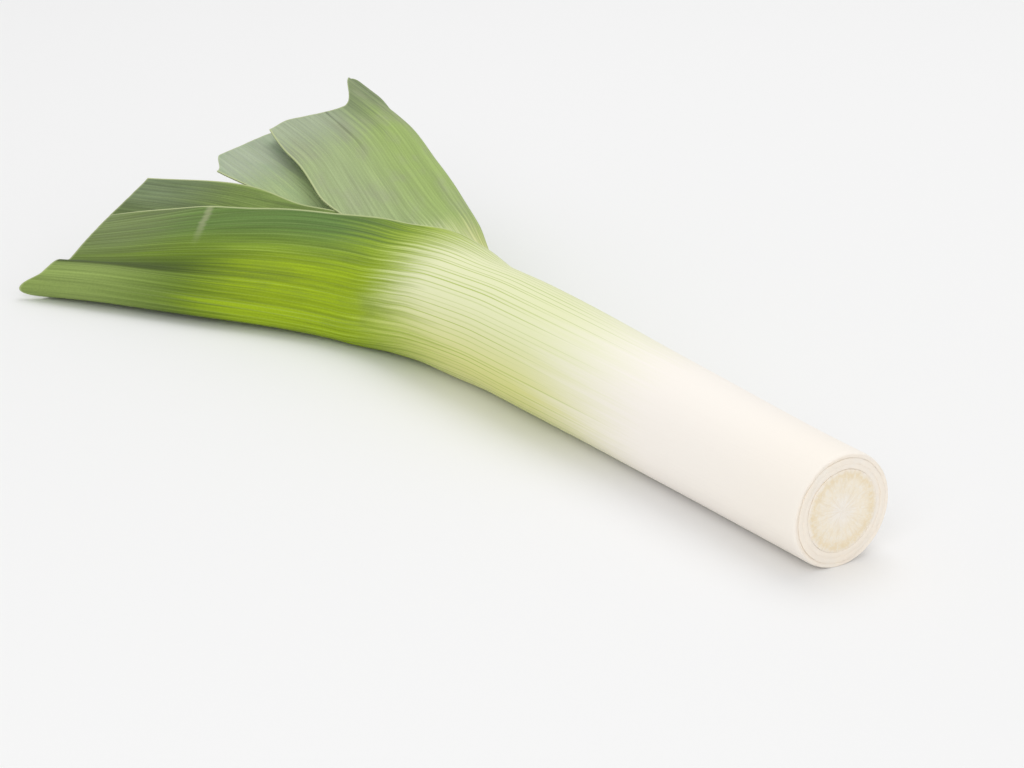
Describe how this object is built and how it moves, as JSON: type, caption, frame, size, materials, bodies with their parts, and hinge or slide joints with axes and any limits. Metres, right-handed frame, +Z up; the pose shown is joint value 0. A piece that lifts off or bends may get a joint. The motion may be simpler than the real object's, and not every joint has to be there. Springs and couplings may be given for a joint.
{
  "type": "leek",
  "caption": "Trimmed fresh leek lying on its side: a white shaft of nested leaf sheaths with a cut root end, and green keeled leaves that fan out to their trimmed ends",
  "frame": {"origin": "on the surface that the leek lies on, under the middle of its bounding box", "axes": "+X along the shaft towards the cut root end, +Y towards the right-hand row of leaves, +Z up"},
  "size_m": [0.41, 0.1786, 0.0606],
  "materials": {
    "basal_plate": "matte, moist fibrous root plate (stands in for plant tissue)",
    "leaf_left_1": "satin waxy leaf, white at the root end to green at the tip (stands in for plant tissue)",
    "leaf_right_1": "satin waxy leaf, greyish green blade (stands in for plant tissue)",
    "leaf_left_2": "satin waxy leaf, dark striped green blade (stands in for plant tissue)",
    "leaf_right_2": "satin waxy leaf, pale silvery green blade (stands in for plant tissue)",
    "leaf_left_3": "satin young leaf, yellow-green (stands in for plant tissue)",
    "leaf_right_3": "satin young leaf, pale yellow-green (stands in for plant tissue)",
    "heart_leaf": "satin young leaf, pale yellow (stands in for plant tissue)"
  },
  "bodies": {
    "root": {"basal_plate": "basal_plate", "leaf_left_1": "leaf_left_1", "leaf_right_1": "leaf_right_1", "leaf_left_2": "leaf_left_2", "leaf_right_2": "leaf_right_2", "leaf_left_3": "leaf_left_3", "leaf_right_3": "leaf_right_3", "heart_leaf": "heart_leaf"}
  },
  "joints": []
}
